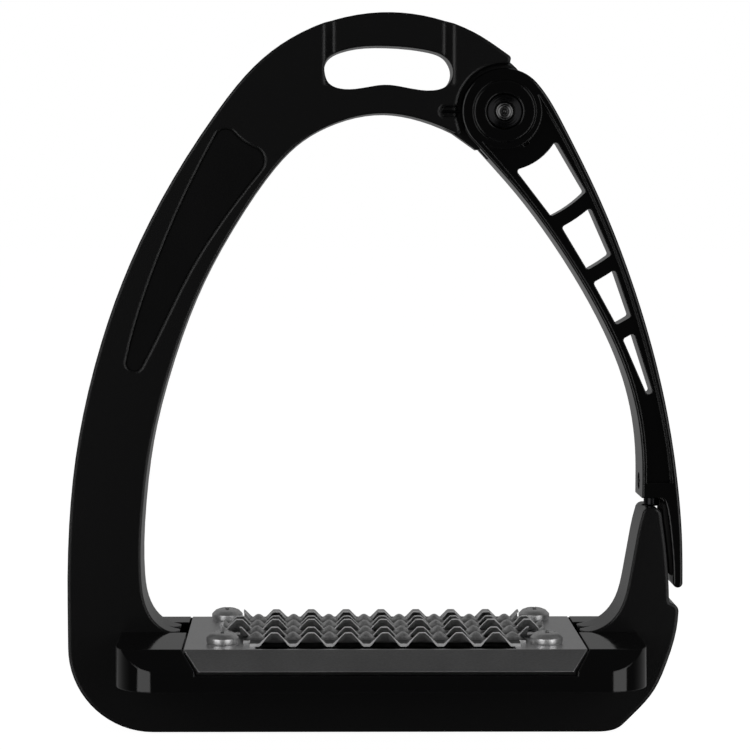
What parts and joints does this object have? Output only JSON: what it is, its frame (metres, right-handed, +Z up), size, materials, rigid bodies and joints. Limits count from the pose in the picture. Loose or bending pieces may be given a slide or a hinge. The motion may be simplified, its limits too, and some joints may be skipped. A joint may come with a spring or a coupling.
{
  "type": "stirrup iron",
  "caption": "Safety stirrup iron: cast ring with leather slot, hinged sprung release arm, and a wide platform with toothed steel grip.",
  "frame": {"origin": "centre of the base bar's flat underside, in the middle of the frame's thickness", "axes": "+Z up towards the leather slot, +X towards the release arm (outer side), -Y towards the toe side, where the wide part of the tread is"},
  "size_m": [0.1519, 0.055, 0.1776],
  "materials": {
    "frame_coat": "satin black powder coat on cast aluminium",
    "inlay": "matte",
    "arm_lacquer": "gloss black coat on forged aluminium",
    "steel": "satin",
    "bronze": "satin",
    "washer_plastic": "matte",
    "black_cap": "gloss black anodised",
    "black_steel": "satin",
    "spring_steel": "satin",
    "stop_rubber": "matte",
    "platform_plastic": "gloss",
    "plate_steel": "satin",
    "grip_steel": "satin",
    "screw_steel": "satin",
    "insert_brass": "satin"
  },
  "bodies": {
    "ring": {"frame": "frame_coat", "leg_inlay_front": "inlay", "leg_inlay_rear": "inlay", "hinge_pin": "steel", "thrust_washer_front": "washer_plastic", "thrust_washer_rear": "washer_plastic", "hinge_screw_front": "black_steel", "hinge_screw_rear": "black_steel", "torsion_spring": "spring_steel", "tread_platform": "platform_plastic", "tread_plate": "plate_steel", "tread_grip": "grip_steel", "tread_screw_1": "screw_steel", "tread_screw_2": "screw_steel", "tread_screw_3": "screw_steel", "tread_screw_4": "screw_steel", "tread_insert_1": "insert_brass", "tread_insert_2": "insert_brass", "tread_insert_3": "insert_brass", "tread_insert_4": "insert_brass", "platform_screw_1": "black_steel", "platform_screw_2": "black_steel", "platform_screw_3": "black_steel", "platform_nut_1": "black_steel", "platform_nut_2": "black_steel", "platform_nut_3": "black_steel"},
    "arm": {"release_arm": "arm_lacquer", "hinge_bush_front": "bronze", "hinge_bush_rear": "bronze", "hub_cap_front": "black_cap", "hub_cap_rear": "black_cap", "plunger_spring": "spring_steel", "plunger_stop_screw": "black_steel", "tail_stop": "stop_rubber"},
    "latch": {"plunger": "steel"}
  },
  "joints": [
    {"name": "arm_hinge", "type": "hinge", "parent": "ring", "child": "arm", "pos_m": [0.0317, 0, 0.1532], "axis": [0, -1, 0], "range_deg": [0, 70], "stiffness_Nm_per_rad": 0.05, "springref_deg": -57.3, "deforming": ["torsion_spring"]},
    {"name": "plunger_slide", "type": "slide", "parent": "arm", "child": "latch", "axis": [0, 0, 1], "range_m": [0, 0.0014], "stiffness_N_per_m": 800, "springref_m": -0.004, "deforming": ["plunger_spring"]}
  ]
}
